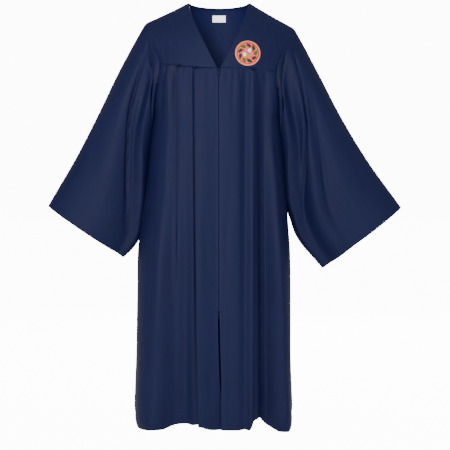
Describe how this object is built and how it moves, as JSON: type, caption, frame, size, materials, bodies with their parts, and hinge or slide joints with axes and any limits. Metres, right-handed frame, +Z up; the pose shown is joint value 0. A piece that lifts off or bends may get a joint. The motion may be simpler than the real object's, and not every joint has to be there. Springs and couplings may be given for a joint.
{
  "type": "graduation gown",
  "caption": "Long open-bottomed graduation gown with a yoke, pleated zip front, fluted back, wide bell sleeves, a round chest patch and a neck label.",
  "frame": {"origin": "middle of the shoulder line, level with the two neck points, where the wearer's shoulders hold the gown", "axes": "+Z up to the neck, -Y out of the zip front, +X to the wearer's left"},
  "size_m": [1.0609, 0.3526, 1.2657],
  "materials": {
    "gown_cloth": "matte navy polyester",
    "zip_tape": "woven navy tape",
    "zip_metal": "navy enamelled metal",
    "patch_cloth": "embroidered twill",
    "label_cloth": "woven satin tape"
  },
  "bodies": {
    "gown": {"yoke_front_right": "gown_cloth", "yoke_front_left": "gown_cloth", "yoke_back": "gown_cloth", "front_right": "gown_cloth", "front_left": "gown_cloth", "back": "gown_cloth", "sleeve_right": "gown_cloth", "sleeve_left": "gown_cloth", "zip_tape_right": "zip_tape", "zip_tape_left": "zip_tape", "zip_slider": "zip_metal", "emblem_patch": "patch_cloth", "neck_label": "label_cloth"},
    "zip_pull": {"zip_pull_tab": "zip_metal"}
  },
  "joints": [
    {"name": "zip_pull_hinge", "type": "hinge", "parent": "gown", "child": "zip_pull", "pos_m": [0, -0.11617, -0.20335], "axis": [-1, 0, 0], "range_deg": [0, 150]}
  ]
}
